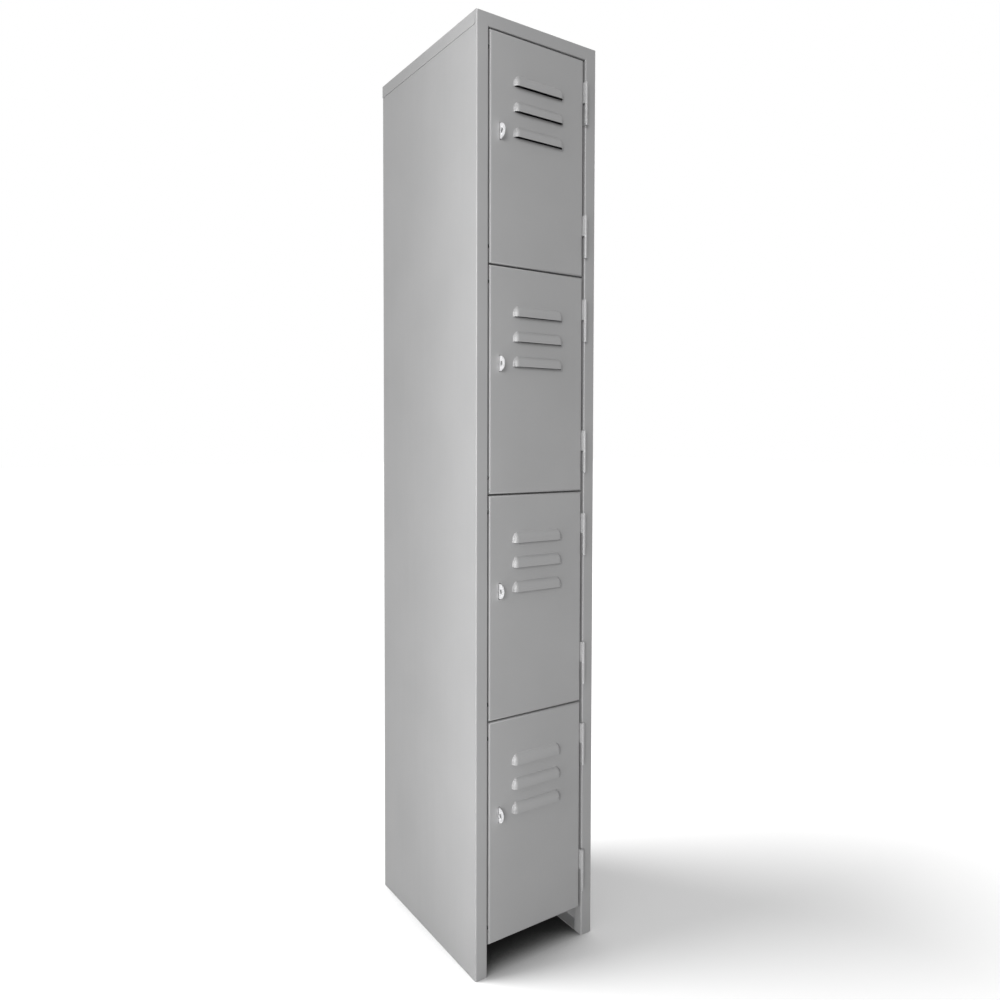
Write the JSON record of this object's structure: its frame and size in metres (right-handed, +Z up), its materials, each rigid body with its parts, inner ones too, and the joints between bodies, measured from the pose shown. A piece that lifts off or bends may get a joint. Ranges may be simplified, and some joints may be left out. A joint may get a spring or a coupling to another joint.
{
  "type": "locker cabinet",
  "caption": "Tall narrow steel locker cabinet with a column of louvred, hinged doors, each closed by a padlock through a fixed eye.",
  "frame": {"origin": "centre of the overall box on the floor", "axes": "+Z up, -Y out of the doors' face, +X towards the hinge side"},
  "size_m": [0.302, 0.458, 1.95],
  "materials": {
    "grey_paint": "satin light grey powder coat on steel sheet",
    "plated_steel": "bright zinc plate on steel",
    "black_rubber": "matt black moulded rubber"
  },
  "bodies": {
    "cabinet": {"side_panel_left": "grey_paint", "side_panel_right": "grey_paint", "top_cap": "grey_paint", "back_panel": "grey_paint", "shelf_1": "grey_paint", "shelf_2": "grey_paint", "shelf_3": "grey_paint", "bottom_shelf": "grey_paint", "stile_hinge_leaves_1": "grey_paint", "hinge_pins_1": "plated_steel", "hinge_washers_1": "plated_steel", "padlock_staple_1": "plated_steel", "staple_rivets_1": "plated_steel", "stile_hinge_leaves_2": "grey_paint", "hinge_pins_2": "plated_steel", "hinge_washers_2": "plated_steel", "padlock_staple_2": "plated_steel", "staple_rivets_2": "plated_steel", "stile_hinge_leaves_3": "grey_paint", "hinge_pins_3": "plated_steel", "hinge_washers_3": "plated_steel", "padlock_staple_3": "plated_steel", "staple_rivets_3": "plated_steel", "stile_hinge_leaves_4": "grey_paint", "hinge_pins_4": "plated_steel", "hinge_washers_4": "plated_steel", "padlock_staple_4": "plated_steel", "staple_rivets_4": "plated_steel"},
    "door_1": {"door_1_panel": "grey_paint", "door_1_hinge_leaves": "grey_paint", "door_buffers_1": "black_rubber"},
    "door_2": {"door_2_panel": "grey_paint", "door_2_hinge_leaves": "grey_paint", "door_buffers_2": "black_rubber"},
    "door_3": {"door_3_panel": "grey_paint", "door_3_hinge_leaves": "grey_paint", "door_buffers_3": "black_rubber"},
    "door_4": {"door_4_panel": "grey_paint", "door_4_hinge_leaves": "grey_paint", "door_buffers_4": "black_rubber"}
  },
  "joints": [
    {"name": "door_1_hinge", "type": "hinge", "parent": "cabinet", "child": "door_1", "pos_m": [0.1202, -0.2185, 1.689], "axis": [0, 0, 1], "range_deg": [0, 180]},
    {"name": "door_2_hinge", "type": "hinge", "parent": "cabinet", "child": "door_2", "pos_m": [0.1202, -0.2185, 1.225], "axis": [0, 0, 1], "range_deg": [0, 180]},
    {"name": "door_3_hinge", "type": "hinge", "parent": "cabinet", "child": "door_3", "pos_m": [0.1202, -0.2185, 0.761], "axis": [0, 0, 1], "range_deg": [0, 180]},
    {"name": "door_4_hinge", "type": "hinge", "parent": "cabinet", "child": "door_4", "pos_m": [0.1202, -0.2185, 0.297], "axis": [0, 0, 1], "range_deg": [0, 180]}
  ]
}
